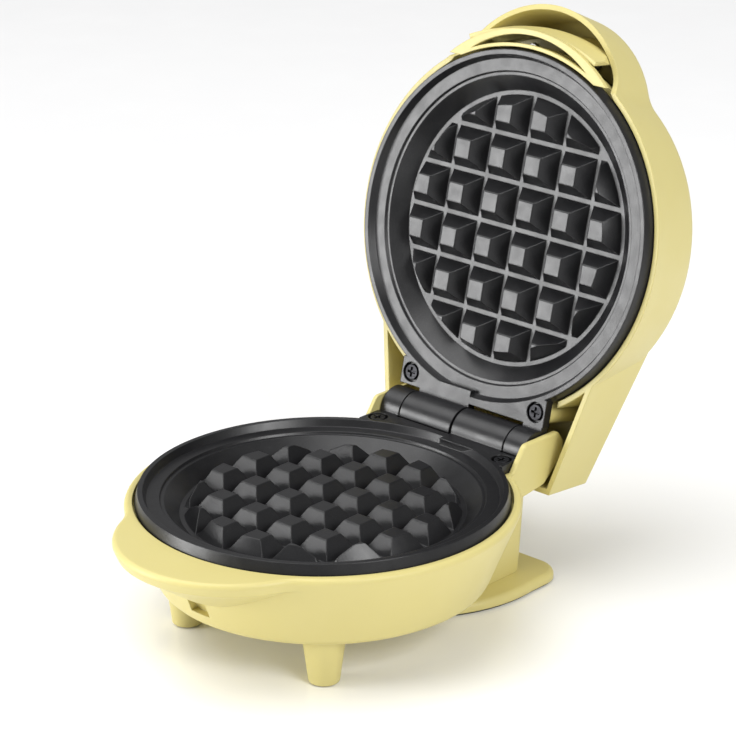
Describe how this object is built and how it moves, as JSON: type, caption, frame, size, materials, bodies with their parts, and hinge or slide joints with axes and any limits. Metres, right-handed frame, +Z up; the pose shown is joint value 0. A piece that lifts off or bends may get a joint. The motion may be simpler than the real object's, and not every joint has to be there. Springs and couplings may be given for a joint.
{
  "type": "mini waffle maker",
  "caption": "Small round hinged waffle maker with square-peg non-stick plates in a moulded case, lid open on a rear post.",
  "frame": {"origin": "under the middle of the open object, on the surface it stands on", "axes": "+Z up, +Y towards the hinge and the back, +X to the right seen from the front"},
  "size_m": [0.1264, 0.2097, 0.1821],
  "materials": {
    "yellow_case": "satin moulded plastic",
    "yellow_liner": "satin moulded plastic",
    "non_stick_plate": "cast aluminium with black non-stick coating",
    "dark_rubber": "soft matt rubber",
    "cream_ceramic": "matt heat-resistant moulding",
    "bright_steel": "ground steel",
    "bare_steel": "plain sheet steel",
    "heater_steel": "dull element sheath",
    "bare_aluminium": "bright sheet aluminium",
    "dark_screw": "dark plated steel",
    "lead_insulation": "woven glass sleeve",
    "lamp_lens": "clear tinted moulding"
  },
  "bodies": {
    "base": {"base_shell": "yellow_case", "bottom_cover": "yellow_case", "bottom_cover_screws": "bare_steel", "leg_pads": "dark_rubber", "stand_foot": "yellow_case", "stand_foot_screws": "bare_steel", "stand_pad": "dark_rubber", "cord_bushing": "dark_rubber", "terminal_block": "cream_ceramic", "hinge_pin": "bright_steel", "lower_plate": "non_stick_plate", "lower_plate_screws": "dark_screw", "lower_heater": "heater_steel", "lower_heater_clamp": "bare_steel", "lower_reflector": "bare_aluminium", "lower_clamp_screw": "bare_steel", "lower_thermostat": "bare_steel", "thermal_fuse": "bare_steel", "lower_leads": "lead_insulation"},
    "lid": {"lid_shell": "yellow_case", "grip_liner": "yellow_liner", "grip_liner_screws": "bare_steel", "upper_plate": "non_stick_plate", "upper_plate_screws": "dark_screw", "upper_heater": "heater_steel", "upper_heater_clamp": "bare_steel", "upper_reflector": "bare_aluminium", "upper_clamp_screw": "bare_steel", "upper_thermostat": "bare_steel", "upper_leads": "lead_insulation", "indicator_lenses": "lamp_lens", "lamp_holder": "cream_ceramic"}
  },
  "joints": [
    {"name": "lid_hinge", "type": "hinge", "parent": "base", "child": "lid", "pos_m": [0, 0.0411, 0.0458], "axis": [1, 0, 0], "range_deg": [0, 103]}
  ]
}
